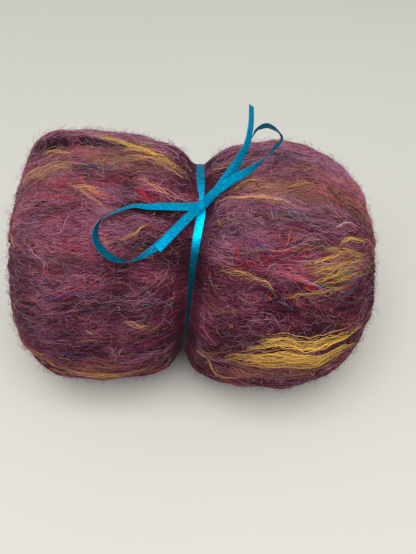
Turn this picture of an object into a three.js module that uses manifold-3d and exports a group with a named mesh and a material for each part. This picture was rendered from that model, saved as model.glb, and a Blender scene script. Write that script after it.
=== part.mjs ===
// A carded fibre batt, folded and rolled into a bun and tied round its waist with a narrow satin ribbon.
// The roll lies along X on its flat spots, +Z up, its origin the middle of its footprint. Millimetres.

import * as THREE from "three";
import * as BufferGeometryUtils from "three/addons/utils/BufferGeometryUtils.js";
import Module from "manifold-3d";

// The batt's outer size, and the height of the roll's own axis above the surface it rests on.
const BATT_LENGTH = 275;
const BATT_DEPTH = 206;
const BATT_HEIGHT = 180;
const AXIS_HEIGHT = 86;

// The ribbon: quarter-inch satin, drawn thicker than cloth so that it is a solid.
const RIBBON_WIDTH = 6;
const RIBBON_THICKNESS = 1;
const CLEARANCE = 0.35;

// Steps of the batt's grid: round the roll, from the ribbon to a lobe's fullest place, and on to its pole.
const STEPS_ROUND = 84;
const STEPS_SHOULDER = 11;
const STEPS_END = 20;

// The seat pressed into the fibre by the ribbon, and the waist's distance from the axis on each side. The
// ribbon is tied a little askew: its place along X leans over round the roll, and the knot pulls it aside.
const SEAT_HALF_WIDTH = 3.4;
const WAIST = { front: 73, top: 72, back: 73, bottom: 79 };
const WAIST_AT = -6;
const WAIST_LEAN = 7.5;
const LEAN_TOWARDS = 82;
const KNOT_ANGLE = 73;
const KNOT_PULL = 2.5;
const KNOT_PULL_WIDTH = 18;

// Each lobe's fullest place along X and its outer end, and on each side of the roll how far it stands from
// the axis, how square its shoulder is towards the ribbon and how square its outer end is (2 is an arc).
const LOBES = {
  left: {
    sign: -1,
    fullestAt: -69,
    pole: -BATT_LENGTH / 2,
    front: { reach: 104, shoulder: 2.2, end: 3.3 },
    top: { reach: 93, shoulder: 1.5, end: 3.7 },
    back: { reach: 98, shoulder: 1.5, end: 3.7 },
    bottom: { reach: 94, shoulder: 2.6, end: 3.0 },
  },
  right: {
    sign: 1,
    fullestAt: 59,
    pole: BATT_LENGTH / 2,
    front: { reach: 104, shoulder: 2.4, end: 2.4 },
    top: { reach: 90, shoulder: 1.7, end: 2.2 },
    back: { reach: 92, shoulder: 1.8, end: 2.3 },
    bottom: { reach: 97, shoulder: 3.2, end: 2.0 },
  },
};

// Soft swells and hollows of the batt's surface: where they are, how far they rise or sink, and how far they
// spread along the roll and round it.
const SWELLS = [
  { x: -27, angle: 80, rise: 5, along: 15, around: 13 },
  { x: -47, angle: 79, rise: -5, along: 6, around: 15 },
  { x: -66, angle: 90, rise: -4, along: 14, around: 12 },
  { x: -84, angle: 72, rise: 3, along: 26, around: 22 },
  { x: -40, angle: 62, rise: -4, along: 16, around: 7 },
  { x: -51, angle: 27, rise: -6, along: 9, around: 26 },
  { x: -29, angle: 22, rise: 4, along: 13, around: 30 },
  { x: -98, angle: 25, rise: 3, along: 24, around: 30 },
  { x: -80, angle: -8, rise: -2, along: 30, around: 14 },
  { x: -60, angle: 150, rise: 3, along: 30, around: 30 },
  { x: -95, angle: 215, rise: -3, along: 22, around: 24 },
  { x: 34, angle: 62, rise: 4, along: 22, around: 24 },
  { x: 96, angle: 61, rise: -3, along: 14, around: 16 },
  { x: 103, angle: 36, rise: 4, along: 20, around: 20 },
  { x: 42, angle: 32, rise: -4, along: 24, around: 9 },
  { x: 75, angle: 22, rise: -4, along: 26, around: 9 },
  { x: 30, angle: 8, rise: -3, along: 12, around: 16 },
  { x: 66, angle: 2, rise: 3, along: 34, around: 14 },
  { x: 60, angle: 160, rise: -3, along: 26, around: 22 },
  { x: 88, angle: 205, rise: 3, along: 24, around: 30 },
];

// Slow waves over the whole surface: their height, how many go round, and the length along X that turns
// them round.
const WAVES = [
  { height: 0.8, count: 3, length: 31 },
  { height: 0.7, count: 7, length: -19 },
];

// Pleats where the ribbon gathers the batt: the lobe they run out into, their place round it and their size.
const PLEATS = [
  { lobe: "left", angle: 100, depth: 3, width: 5, reach: 34 },
  { lobe: "left", angle: 68, depth: 4, width: 5, reach: 30 },
  { lobe: "left", angle: 47, depth: 2.5, width: 5, reach: 26 },
  { lobe: "left", angle: 8, depth: 2.5, width: 6, reach: 30 },
  { lobe: "left", angle: -18, depth: 3, width: 6, reach: 34 },
  { lobe: "left", angle: 135, depth: 3, width: 6, reach: 38 },
  { lobe: "left", angle: 172, depth: 3.5, width: 6, reach: 34 },
  { lobe: "left", angle: 212, depth: 3, width: 7, reach: 30 },
  { lobe: "right", angle: 110, depth: 3, width: 6, reach: 34 },
  { lobe: "right", angle: 84, depth: 2.5, width: 5, reach: 26 },
  { lobe: "right", angle: 48, depth: 3.5, width: 6, reach: 36 },
  { lobe: "right", angle: 22, depth: 3, width: 6, reach: 30 },
  { lobe: "right", angle: -12, depth: 3, width: 6, reach: 28 },
  { lobe: "right", angle: 148, depth: 3.5, width: 7, reach: 34 },
  { lobe: "right", angle: 190, depth: 3, width: 6, reach: 36 },
  { lobe: "right", angle: 228, depth: 3, width: 7, reach: 28 },
];
const PLEAT_START = 9;

// The free edge of the batt, which ends the roll along its upper back: its place round it and its step.
const FREE_EDGE = [
  { x: -139, angle: 112, step: 4 },
  { x: -84, angle: 102, step: 5.5 },
  { x: -50, angle: 104, step: 4.5 },
  { x: -6, angle: 112, step: 0 },
  { x: 50, angle: 126, step: 2.5 },
  { x: 139, angle: 136, step: 2.5 },
];
const EDGE_ROUNDING = 5;
const EDGE_RUN_OUT = 80;

// The turns of the roll, which show as a soft spiral on the two ends, and its drawn-in core. The spiral fades
// in and out between these shares of the end's radius.
const TURN_PITCH = 36;
const TURN_DEPTH = 4;
const SPIRAL_IN = { from: 0.1, to: 0.3 };
const SPIRAL_OUT = { from: 0.45, to: 0.8 };
const CORE_DEPTH = 6;
const CORE_SPREAD = 0.26;

// The knot's half sizes: across the ribbon, along it, and out from the batt, with its roundness and steps.
const KNOT = { across: 4.2, along: 4.8, out: 2.7 };
const KNOT_ROUNDNESS = 0.8;
const KNOT_STEPS_ROUND = 20;
const KNOT_STEPS_DOWN = 12;

// The bow's four strips, each from the knot outwards: points of the middle line, and how far the ribbon is
// turned about it, where 0 lies flat to a view from the front and above, and 90 stands on edge to it.
const STRIP_STEPS = 3;
const BOW_STRIPS = {
  leftLoop: [
    { x: 5, y: -18, z: 158, turn: 10 },
    { x: -5, y: -24, z: 162, turn: 15 },
    { x: -20, y: -30, z: 167, turn: 30 },
    { x: -30, y: -33, z: 169, turn: 45 },
    { x: -40, y: -35, z: 171, turn: 60 },
    { x: -52, y: -42, z: 171, turn: 72 },
    { x: -60, y: -49, z: 170, turn: 88 },
    { x: -63, y: -58, z: 166, turn: 118 },
    { x: -61, y: -64, z: 162, turn: 130 },
    { x: -55, y: -69, z: 158, turn: 132 },
    { x: -48, y: -71, z: 155, turn: 122 },
    { x: -41, y: -71, z: 154, turn: 100 },
    { x: -34, y: -68, z: 154, turn: 70 },
    { x: -24, y: -60, z: 156, turn: 35 },
    { x: -14, y: -48, z: 158, turn: 15 },
    { x: -5, y: -34, z: 159, turn: 10 },
    { x: 5, y: -18, z: 158, turn: 10 },
  ],
  rightLoop: [
    { x: 6, y: -18, z: 158, turn: 10 },
    { x: 13, y: -17, z: 168, turn: 10 },
    { x: 26, y: -13, z: 178, turn: 15 },
    { x: 38, y: -8, z: 183, turn: 45 },
    { x: 49, y: 1, z: 187, turn: 92 },
    { x: 58, y: 14, z: 190, turn: 122 },
    { x: 60, y: 22, z: 190, turn: 95 },
    { x: 57, y: 29, z: 190.5, turn: 60 },
    { x: 50, y: 35, z: 190.5, turn: 42 },
    { x: 44, y: 31, z: 190, turn: 58 },
    { x: 41, y: 25, z: 190, turn: 80 },
    { x: 35, y: 15, z: 187, turn: 60 },
    { x: 30, y: 5, z: 182, turn: 35 },
    { x: 23, y: -5, z: 176, turn: 20 },
    { x: 15, y: -14, z: 168, turn: 10 },
    { x: 6, y: -18, z: 158, turn: 10 },
  ],
  upperTail: [
    { x: 6, y: -18, z: 158, turn: 10 },
    { x: 17, y: -13, z: 170, turn: 22 },
    { x: 26, y: -7, z: 178, turn: 38 },
    { x: 31, y: -1, z: 186, turn: 42 },
    { x: 36, y: 4, z: 197, turn: 47 },
    { x: 38, y: 12, z: 207, turn: 51 },
    { x: 38, y: 24, z: 214, turn: 56 },
  ],
  lowerTail: [
    { x: 5, y: -18, z: 158, turn: 5 },
    { x: -4, y: -37, z: 162, turn: 5 },
    { x: -14, y: -53, z: 161, turn: 5 },
    { x: -22, y: -62, z: 157, turn: 5 },
  ],
};
const CUT_SLANT = { lowerTail: 2.5 };

const SIDES = ["front", "top", "back", "bottom"];
const SAME_POINT = 1e-5;
const FULL_TURN = 2 * Math.PI;
const degrees = (value) => (value * Math.PI) / 180;
const bell = (value) => Math.exp(-value * value);

// The way from one angle to another, the short way round.
function turnBetween(angle, other) {
  const turn = (((angle - other) % FULL_TURN) + FULL_TURN) % FULL_TURN;
  return turn > Math.PI ? turn - FULL_TURN : turn;
}

// A value given on the four sides of the roll, blended round it. Angle 0 is the front, 90 up, 180 the back.
function blendSides(valueOf, angle) {
  return SIDES.reduce((total, side, index) => {
    const share = Math.max(0, Math.cos(angle - degrees(90 * index))) ** 2;
    return total + share * valueOf(side);
  }, 0);
}

// A point of a quarter of a superellipse, on the ray at this slope: 2 is a circle, more is squarer.
function quarter(slope, squareness) {
  const along = Math.sin(slope);
  const across = Math.cos(slope);
  const scale = (Math.abs(along) ** squareness + Math.abs(across) ** squareness) ** (-1 / squareness);
  return { along: along * scale, across: across * scale };
}

// A column of a table at a place along X, by a smooth step between its rows.
function readTable(rows, column, x) {
  const next = rows.findIndex((row) => row.x >= x);
  if (next <= 0) {
    return rows[next < 0 ? rows.length - 1 : 0][column];
  }
  const before = rows[next - 1];
  const after = rows[next];
  const share = THREE.MathUtils.smoothstep(x, before.x, after.x);
  return THREE.MathUtils.lerp(before[column], after[column], share);
}

// Where the ribbon lies along X, at an angle round the roll.
function seatAt(angle) {
  const fromKnot = turnBetween(angle, degrees(KNOT_ANGLE)) / degrees(KNOT_PULL_WIDTH);
  return WAIST_AT + WAIST_LEAN * Math.cos(angle - degrees(LEAN_TOWARDS)) + KNOT_PULL * bell(fromKnot);
}

// The plain lobe: place along X and distance from the axis, for a step along it and an angle round it. On the
// outer end, across falls from 1 at the fullest place to 0 at the pole.
function lobePoint(lobe, step, angle) {
  const reach = blendSides((side) => lobe[side].reach, angle);
  if (step > STEPS_SHOULDER) {
    const end = blendSides((side) => lobe[side].end, angle);
    const arc = quarter(degrees(90 * ((step - STEPS_SHOULDER) / STEPS_END)), end);
    const x = lobe.fullestAt + (lobe.pole - lobe.fullestAt) * arc.along;
    return { x, radius: reach * arc.across, across: arc.across };
  }
  const waist = blendSides((side) => WAIST[side], angle);
  const shoulder = blendSides((side) => lobe[side].shoulder, angle);
  const arc = quarter(degrees(90 * (step / STEPS_SHOULDER)), shoulder);
  const seatEdge = seatAt(angle) + lobe.sign * SEAT_HALF_WIDTH;
  const x = lobe.fullestAt + (seatEdge - lobe.fullestAt) * arc.across;
  return { x, radius: waist + (reach - waist) * arc.along, across: 1 };
}

// How far the batt's unevenness lifts the surface there: its swells, pleats, free edge and soft waves.
function unevenness(lobe, { x, radius, across }, angle) {
  const fromSeat = Math.abs(x - seatAt(angle)) - SEAT_HALF_WIDTH;
  let lift = 0;
  for (const { height, count, length } of WAVES) {
    lift += height * Math.sin(count * angle + x / length);
  }
  for (const { x: middle, angle: place, rise, along, around } of SWELLS) {
    const arc = turnBetween(angle, degrees(place)) * radius;
    lift += rise * bell((x - middle) / along) * bell(arc / around);
  }
  for (const { lobe: side, angle: place, depth, width, reach } of PLEATS) {
    if (LOBES[side] === lobe) {
      const arc = turnBetween(angle, degrees(place)) * radius;
      const start = THREE.MathUtils.smoothstep(fromSeat, 0, PLEAT_START);
      lift -= depth * start * bell(fromSeat / reach) * bell(arc / width);
    }
  }
  const behindEdge = turnBetween(angle, degrees(readTable(FREE_EDGE, "angle", x)));
  const rising = THREE.MathUtils.smoothstep(behindEdge * radius, -EDGE_ROUNDING / 2, EDGE_ROUNDING / 2);
  const runOut = 1 - THREE.MathUtils.smoothstep(behindEdge, 0, degrees(EDGE_RUN_OUT));
  lift += readTable(FREE_EDGE, "step", x) * rising * runOut;
  return lift * THREE.MathUtils.smoothstep(fromSeat, 0, PLEAT_START) * across;
}

// How far the spiral of turns and the drawn-in core sink the outer end there.
function endRelief(lobe, { radius, across }, angle) {
  const phase = radius / TURN_PITCH - (lobe.sign * angle) / FULL_TURN;
  const groove = (0.5 + 0.5 * Math.cos(FULL_TURN * phase)) ** 2;
  const fadeIn = THREE.MathUtils.smoothstep(across, SPIRAL_IN.from, SPIRAL_IN.to);
  const fadeOut = 1 - THREE.MathUtils.smoothstep(across, SPIRAL_OUT.from, SPIRAL_OUT.to);
  return TURN_DEPTH * groove * fadeIn * fadeOut + CORE_DEPTH * bell(across / CORE_SPREAD);
}

function surfacePoint(lobe, step, angle) {
  const plain = lobePoint(lobe, step, angle);
  const radius = plain.radius + unevenness(lobe, plain, angle);
  const sink = step > STEPS_SHOULDER ? endRelief(lobe, plain, angle) : 0;
  const z = Math.max(0, AXIS_HEIGHT + radius * Math.sin(angle));
  return new THREE.Vector3(plain.x - lobe.sign * sink, -radius * Math.cos(angle), z);
}

// Rings of points from the left pole to the right one, then the two poles.
function battPoints() {
  const lastStep = STEPS_SHOULDER + STEPS_END;
  const points = [];
  for (const lobe of [LOBES.left, LOBES.right]) {
    for (let count = 0; count < lastStep; count += 1) {
      const step = lobe.sign < 0 ? lastStep - 1 - count : count;
      for (let index = 0; index < STEPS_ROUND; index += 1) {
        points.push(surfacePoint(lobe, step, (FULL_TURN * index) / STEPS_ROUND));
      }
    }
  }
  points.push(surfacePoint(LOBES.left, lastStep, 0));
  points.push(surfacePoint(LOBES.right, lastStep, 0));
  return points;
}

// Draws points out to the batt's measured length, depth and height, over the middle of its footprint.
function makeFit(points) {
  const box = new THREE.Box3().setFromPoints(points);
  const size = box.getSize(new THREE.Vector3());
  const middle = box.getCenter(new THREE.Vector3());
  const scale = new THREE.Vector3(BATT_LENGTH, BATT_DEPTH, BATT_HEIGHT).divide(size);
  const base = new THREE.Vector3(middle.x, middle.y, 0);
  return (point) => point.clone().sub(base).multiply(scale);
}

// A geometry from points and the faces between them.
function closedGeometry(points, faces) {
  const geometry = new THREE.BufferGeometry().setFromPoints(points);
  geometry.setIndex(faces);
  geometry.computeVertexNormals();
  return geometry;
}

// Two triangles for each cell of a grid whose rings close round.
function wallFaces(rings, round) {
  const faces = [];
  const vertex = (ring, index) => ring * round + (index % round);
  for (let ring = 0; ring + 1 < rings; ring += 1) {
    for (let index = 0; index < round; index += 1) {
      const near = vertex(ring, index);
      const far = vertex(ring + 1, index + 1);
      faces.push(near, vertex(ring + 1, index), far, near, far, vertex(ring, index + 1));
    }
  }
  return faces;
}

function buildBatt(points, fit) {
  const rings = (points.length - 2) / STEPS_ROUND;
  const faces = wallFaces(rings, STEPS_ROUND);
  const leftPole = points.length - 2;
  const rightPole = points.length - 1;
  const lastRing = (rings - 1) * STEPS_ROUND;
  for (let index = 0; index < STEPS_ROUND; index += 1) {
    const next = (index + 1) % STEPS_ROUND;
    faces.push(leftPole, index, next);
    faces.push(rightPole, lastRing + next, lastRing + index);
  }
  return closedGeometry(points.map(fit), faces);
}

// The direction in which the strips face where their turn is 0.
const FACING = new THREE.Vector3(0, -1, 1).normalize();

// The four corners of the ribbon's section, round a point, given its width and facing directions.
function sectionCorners(middle, across, out) {
  const half = { across: RIBBON_WIDTH / 2, out: RIBBON_THICKNESS / 2 };
  const corners = [[-1, -1], [1, -1], [1, 1], [-1, 1]];
  return corners.map(([sideways, outwards]) =>
    middle
      .clone()
      .addScaledVector(across, sideways * half.across)
      .addScaledVector(out, outwards * half.out),
  );
}

// One strip of the bow, swept along its table with a flat cap on each end.
function buildStrip(rows, cutSlant = 0) {
  const line = new THREE.CatmullRomCurve3(rows.map((row) => new THREE.Vector3(row.x, row.y, row.z)));
  const turns = new THREE.CatmullRomCurve3(rows.map((row) => new THREE.Vector3(row.turn, 0, 0)));
  const steps = (rows.length - 1) * STRIP_STEPS;
  const points = [];
  for (let step = 0; step <= steps; step += 1) {
    const along = line.getTangent(step / steps);
    const sideways = along.clone().cross(FACING).normalize();
    const across = sideways.applyAxisAngle(along, degrees(turns.getPoint(step / steps).x));
    const out = across.clone().cross(along).normalize();
    const corners = sectionCorners(line.getPoint(step / steps), across, out);
    if (step === steps) {
      corners[1].addScaledVector(along, cutSlant);
      corners[2].addScaledVector(along, cutSlant);
    }
    points.push(...corners);
  }
  const faces = wallFaces(steps + 1, 4);
  const last = steps * 4;
  faces.push(0, 1, 2, 0, 2, 3, last, last + 2, last + 1, last, last + 3, last + 2);
  return closedGeometry(points, faces);
}

// The band: the ribbon's section carried right round the waist in its seat.
function buildBand(fit) {
  const points = [];
  const faces = [];
  for (let index = 0; index < STEPS_ROUND; index += 1) {
    const angle = (FULL_TURN * index) / STEPS_ROUND;
    const radius = blendSides((side) => WAIST[side], angle) + CLEARANCE + RIBBON_THICKNESS / 2;
    const out = new THREE.Vector3(0, -Math.cos(angle), Math.sin(angle));
    const middle = new THREE.Vector3(seatAt(angle), 0, AXIS_HEIGHT).addScaledVector(out, radius);
    points.push(...sectionCorners(middle, new THREE.Vector3(1, 0, 0), out).map(fit));
    const next = (index + 1) % STEPS_ROUND;
    for (let corner = 0; corner < 4; corner += 1) {
      const near = index * 4 + corner;
      const nearNext = index * 4 + ((corner + 1) % 4);
      const far = next * 4 + corner;
      const farNext = next * 4 + ((corner + 1) % 4);
      faces.push(near, farNext, nearNext, near, far, farNext);
    }
  }
  return closedGeometry(points, faces);
}

// The knot: a tight pillow of ribbon that sits on the band and takes in the ends of the strips.
function buildKnot(fit) {
  const angle = degrees(KNOT_ANGLE);
  const radius = blendSides((side) => WAIST[side], angle) + CLEARANCE + RIBBON_THICKNESS / 2 + KNOT.out;
  const out = new THREE.Vector3(0, -Math.cos(angle), Math.sin(angle));
  const along = new THREE.Vector3(0, Math.sin(angle), Math.cos(angle));
  const middle = fit(new THREE.Vector3(seatAt(angle), 0, AXIS_HEIGHT).addScaledVector(out, radius));
  const ball = new THREE.SphereGeometry(1, KNOT_STEPS_ROUND, KNOT_STEPS_DOWN);
  const place = ball.getAttribute("position");
  const squared = (value) => Math.sign(value) * Math.abs(value) ** KNOT_ROUNDNESS;
  for (let index = 0; index < place.count; index += 1) {
    const point = middle
      .clone()
      .addScaledVector(new THREE.Vector3(1, 0, 0), KNOT.across * squared(place.getX(index)))
      .addScaledVector(along, KNOT.along * squared(place.getY(index)))
      .addScaledVector(out, KNOT.out * squared(place.getZ(index)));
    place.setXYZ(index, point.x, point.y, point.z);
  }
  return ball;
}

// A closed geometry as a solid that can be joined to others.
function toSolid(geometry) {
  const bare = geometry.clone();
  bare.deleteAttribute("normal");
  bare.deleteAttribute("uv");
  const merged = BufferGeometryUtils.mergeVertices(bare, SAME_POINT);
  const vertProperties = new Float32Array(merged.getAttribute("position").array);
  const triVerts = new Uint32Array(merged.getIndex().array);
  return new wasm.Manifold(new wasm.Mesh({ numProp: 3, vertProperties, triVerts }));
}

// A joined solid as a geometry again.
function toGeometry(solid) {
  const { vertProperties, triVerts } = solid.getMesh();
  const geometry = new THREE.BufferGeometry();
  geometry.setAttribute("position", new THREE.BufferAttribute(vertProperties, 3));
  geometry.setIndex(new THREE.BufferAttribute(triVerts, 1));
  geometry.computeVertexNormals();
  return geometry;
}

// The whole tie is one length of ribbon: band, knot, two loops and two free ends, in one solid.
function buildRibbon(fit) {
  const strips = Object.entries(BOW_STRIPS).map(([name, rows]) => buildStrip(rows, CUT_SLANT[name]));
  const parts = [buildBand(fit), buildKnot(fit), ...strips].map(toSolid);
  return toGeometry(parts.reduce((joined, part) => joined.add(part)));
}

const wasm = await Module();
wasm.setup();

const rawPoints = battPoints();
const fit = makeFit(rawPoints);

const batt = new THREE.Mesh(
  buildBatt(rawPoints, fit),
  new THREE.MeshStandardMaterial({ color: "#6e3a4c", roughness: 0.95, metalness: 0 }),
);
batt.name = "batt";

const ribbon = new THREE.Mesh(
  buildRibbon(fit),
  new THREE.MeshStandardMaterial({ color: "#0590bd", roughness: 0.4, metalness: 0 }),
);
ribbon.name = "ribbon";

const group = new THREE.Group();
group.add(batt, ribbon);

export default group;
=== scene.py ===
import math

import bmesh
import bpy
import numpy as np
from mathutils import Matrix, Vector
from mathutils.bvhtree import BVHTree


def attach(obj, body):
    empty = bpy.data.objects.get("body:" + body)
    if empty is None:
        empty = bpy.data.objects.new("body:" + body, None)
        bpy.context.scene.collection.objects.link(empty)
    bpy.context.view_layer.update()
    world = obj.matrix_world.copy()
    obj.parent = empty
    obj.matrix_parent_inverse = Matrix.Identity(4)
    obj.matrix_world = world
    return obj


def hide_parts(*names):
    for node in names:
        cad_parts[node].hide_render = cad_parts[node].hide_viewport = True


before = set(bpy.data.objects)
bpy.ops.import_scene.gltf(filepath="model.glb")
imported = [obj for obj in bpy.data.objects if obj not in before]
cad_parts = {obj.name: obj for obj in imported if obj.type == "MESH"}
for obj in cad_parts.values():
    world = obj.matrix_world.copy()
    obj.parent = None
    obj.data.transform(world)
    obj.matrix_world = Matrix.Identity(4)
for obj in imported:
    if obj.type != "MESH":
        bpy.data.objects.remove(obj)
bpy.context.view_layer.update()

MM = 0.001

# Camera
# The photograph looks down on the roll at about 45 degrees, from 0.57 m away in front and a little to the
# right, through a lens that sees 33 degrees across the picture's short side.
CAMERA_AT = Vector((0.02707, -0.39056, 0.48138))
LOOKS_AT = Vector((0.00911, 0.0, 0.06579))


def put_in(name, data):
    """A new object, in the scene."""
    thing = bpy.data.objects.new(name, data)
    bpy.context.scene.collection.objects.link(thing)
    return thing


camera_data = bpy.data.cameras.new("camera")
camera_data.sensor_fit = "HORIZONTAL"
camera_data.sensor_width = 36
camera_data.lens = 60.06
camera = put_in("camera", camera_data)
camera.location = CAMERA_AT
camera.rotation_euler = (LOOKS_AT - CAMERA_AT).to_track_quat("-Z", "Y").to_euler()
bpy.context.scene.camera = camera

# Floor and light
# A plain warm-white sheet under soft studio light: a wide softbox high up and in front of the roll, a weak one
# at each side, and the pale room all round.
FLOOR_SIZE = 8.0
ROOM_LIGHT = 0.36


def linear(colour):
    """An sRGB hex colour as linear red, green, blue and 1."""
    parts = [int(colour[place:place + 2], 16) / 255 for place in (1, 3, 5)]
    return [part / 12.92 if part <= 0.04045 else ((part + 0.055) / 1.055) ** 2.4 for part in parts] + [1.0]


def add_node(tree, kind, values, **settings):
    """A node with its settings, and each named socket set to a value or linked to another node's output."""
    node = tree.nodes.new(kind)
    for name, setting in settings.items():
        setattr(node, name, setting)
    for name, value in values.items():
        if isinstance(value, bpy.types.NodeSocket):
            tree.links.new(value, node.inputs[name])
        else:
            node.inputs[name].default_value = value
    return node


def new_material(name):
    """An empty material, its node tree and its surface socket."""
    material = bpy.data.materials.new(name)
    material.use_nodes = True
    tree = material.node_tree
    tree.nodes.clear()
    return material, tree, tree.nodes.new("ShaderNodeOutputMaterial").inputs["Surface"]


def add_surface(tree, surface, values):
    """A principled shader on the material's surface, with its sockets set or linked."""
    tree.links.new(add_node(tree, "ShaderNodeBsdfPrincipled", values).outputs["BSDF"], surface)


floor_mesh = bpy.data.meshes.new("floor")
half = FLOOR_SIZE / 2
floor_corners = [(-half, -half, 0), (half, -half, 0), (half, half, 0), (-half, half, 0)]
floor_mesh.from_pydata(floor_corners, [], [(0, 1, 2, 3)])
floor = put_in("floor", floor_mesh)

# Matt paper sweep: no gloss, and a faint cloudiness that keeps it from looking drawn.
paper, tree, surface = new_material("matt_paper_sweep")
place = add_node(tree, "ShaderNodeTexCoord", {})
cloud = add_node(tree, "ShaderNodeTexNoise", {"Vector": place.outputs["Object"], "Scale": 2.0, "Detail": 2.0})
tone = add_node(
    tree, "ShaderNodeMix", {"Factor": cloud.outputs["Fac"], "A": linear("#c9c9c4"), "B": linear("#d0d0cb")},
    data_type="RGBA",
)
add_surface(tree, surface, {
    "Base Color": tone.outputs["Result"], "Roughness": 0.95, "Specular IOR Level": 0.2,
})
floor_mesh.materials.append(paper)

world = bpy.data.worlds.new("pale_room")
world.use_nodes = True
room = world.node_tree.nodes["Background"].inputs
room["Color"].default_value = linear("#fdfdff")
room["Strength"].default_value = ROOM_LIGHT
bpy.context.scene.world = world
bpy.context.scene.view_settings.view_transform = "Standard"

# Name, place, size in metres and watts.
SOFTBOXES = [
    ("overhead", (0.0, -0.95, 2.15), 1.9, 58.0), ("right", (1.1, -0.7, 0.9), 0.9, 2.0),
    ("left", (-1.1, -0.6, 0.9), 0.9, 2.5),
]
SOFTBOX_AIM = Vector((0, 0, 0.06))
for name, at, size, watts in SOFTBOXES:
    light_data = bpy.data.lights.new(name, "AREA")
    light_data.size = size
    light_data.energy = watts
    light_data.color = linear("#fffdf8")[:3]
    light = put_in(name, light_data)
    light.location = at
    light.rotation_euler = (SOFTBOX_AIM - light.location).to_track_quat("-Z", "Y").to_euler()

# Batt
# One carded sheet of wool and silk, folded and rolled into a bun. Its fibres lie along the roll, gather under
# the ribbon and wrap round both ends. Everything on it is placed in mm along the roll and degrees round it.
AXIS_Y = 4.2
AXIS_Z = 85.4
MEAN_RADIUS = 90.0
# The ribbon's seat, from its middle to the side drawn over under the knot: mm along the roll, and degrees.
SEAT = {"at": -4.8, "lean": 7.64, "towards": 82, "pull": 2.55, "knot": 73, "width": 18, "half": 3.5}
FULLEST = {"left": -69.0, "right": 61.4}
# How many rays read the solid round the roll, and over each end, shoulder and the seat. The first ray of an end
# stands POLE_TILT degrees off the axis, and those of a shoulder crowd towards the seat.
CAST_ROUND = 360
CAST_END = 80
CAST_SHOULDER = 110
CAST_SEAT = 8
POLE_TILT = 1
CROWDING = 1.6
ROWS = 200
ROUND = 400
SOFTEN_ALONG = 1.6
SOFTEN_ROUND = 2.4


def bvh_of(name):
    """A CAD node's faces, to cast rays at."""
    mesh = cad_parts[name].data
    return BVHTree.FromPolygons([v.co for v in mesh.vertices], [tuple(p.vertices) for p in mesh.polygons])


def seat_at(angle):
    """Where the ribbon lies along the roll, in mm, at an angle round it in radians."""
    turn = np.abs((np.degrees(angle) - SEAT["knot"] + 180) % 360 - 180)
    lean = SEAT["lean"] * np.cos(angle - math.radians(SEAT["towards"]))
    return SEAT["at"] + lean + SEAT["pull"] * np.exp(-((turn / SEAT["width"]) ** 2))


def cast(bvh, from_x, tilt, angle):
    """The place in mm where a ray from the roll's axis meets a node. Tilt is 90 degrees straight out."""
    out = Vector((math.cos(tilt), -math.sin(tilt) * math.cos(angle), math.sin(tilt) * math.sin(angle)))
    hit = bvh.ray_cast(Vector((from_x * MM, AXIS_Y * MM, AXIS_Z * MM)), out)[0]
    return None if hit is None else [c / MM for c in hit]


def blur(grid, sigma, axis, wraps):
    """A grid of points with a Gaussian blur along one axis, counted in steps."""
    reach = int(3 * sigma) + 1
    weights = np.exp(-0.5 * (np.arange(-reach, reach + 1) / sigma) ** 2)
    padding = [(0, 0)] * grid.ndim
    padding[axis] = (reach, reach)
    padded = np.pad(grid, padding, mode="wrap" if wraps else "edge")
    total = np.zeros_like(grid)
    for index, weight in enumerate(weights / weights.sum()):
        total += weight * np.take(padded, np.arange(index, index + grid.shape[axis]), axis=axis)
    return total


# The solid's surface as a grid: rows from the left pole to the right one, each right round the roll from the
# underside. Rows are then spaced evenly by their length along the surface.
batt_bvh = bvh_of("batt")
cast_angles = np.radians(-90 + 360 * np.arange(CAST_ROUND) / CAST_ROUND)
columns = []
for angle in cast_angles:
    seat = float(seat_at(angle))
    column = []
    for step in range(CAST_END):
        tilt = math.pi - math.radians(POLE_TILT + (90 - POLE_TILT) * step / CAST_END)
        column.append(cast(batt_bvh, FULLEST["left"], tilt, angle))
    for step in range(CAST_SHOULDER):
        share = 1 - (1 - step / CAST_SHOULDER) ** CROWDING
        x = FULLEST["left"] + (seat - SEAT["half"] - FULLEST["left"]) * share
        column.append(cast(batt_bvh, x, math.pi / 2, angle))
    for step in range(CAST_SEAT):
        x = seat + SEAT["half"] * (2 * step / CAST_SEAT - 1)
        column.append(cast(batt_bvh, x, math.pi / 2, angle))
    for step in range(CAST_SHOULDER):
        share = (step / CAST_SHOULDER) ** CROWDING
        x = seat + SEAT["half"] + (FULLEST["right"] - seat - SEAT["half"]) * share
        column.append(cast(batt_bvh, x, math.pi / 2, angle))
    for step in range(CAST_END + 1):
        tilt = math.radians(90 - (90 - POLE_TILT) * step / CAST_END)
        column.append(cast(batt_bvh, FULLEST["right"], tilt, angle))
    columns.append(column)
grid = np.array(columns, dtype=float).transpose(1, 0, 2)

gaps = np.linalg.norm(np.diff(grid, axis=0), axis=2).mean(axis=1)
run = np.concatenate([[0], np.cumsum(gaps)])
RUN_LENGTH = float(run[-1])
wanted = np.linspace(0, RUN_LENGTH, ROWS)
before = np.clip(np.searchsorted(run, wanted, side="right") - 1, 0, len(run) - 2)
share = ((wanted - run[before]) / (run[before + 1] - run[before]))[:, None, None]
grid = grid[before] * (1 - share) + grid[before + 1] * share
grid = blur(grid, SOFTEN_ALONG, 0, False)
grid = blur(grid, SOFTEN_ROUND, 1, True)

# The same grid with more columns.
angles = np.radians(-90 + 360 * np.arange(ROUND) / ROUND)
spot = np.arange(ROUND) * CAST_ROUND / ROUND
low = np.floor(spot).astype(int)
share = (spot - low)[None, :, None]
grid = grid[:, low] * (1 - share) + grid[:, (low + 1) % CAST_ROUND] * share


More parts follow.
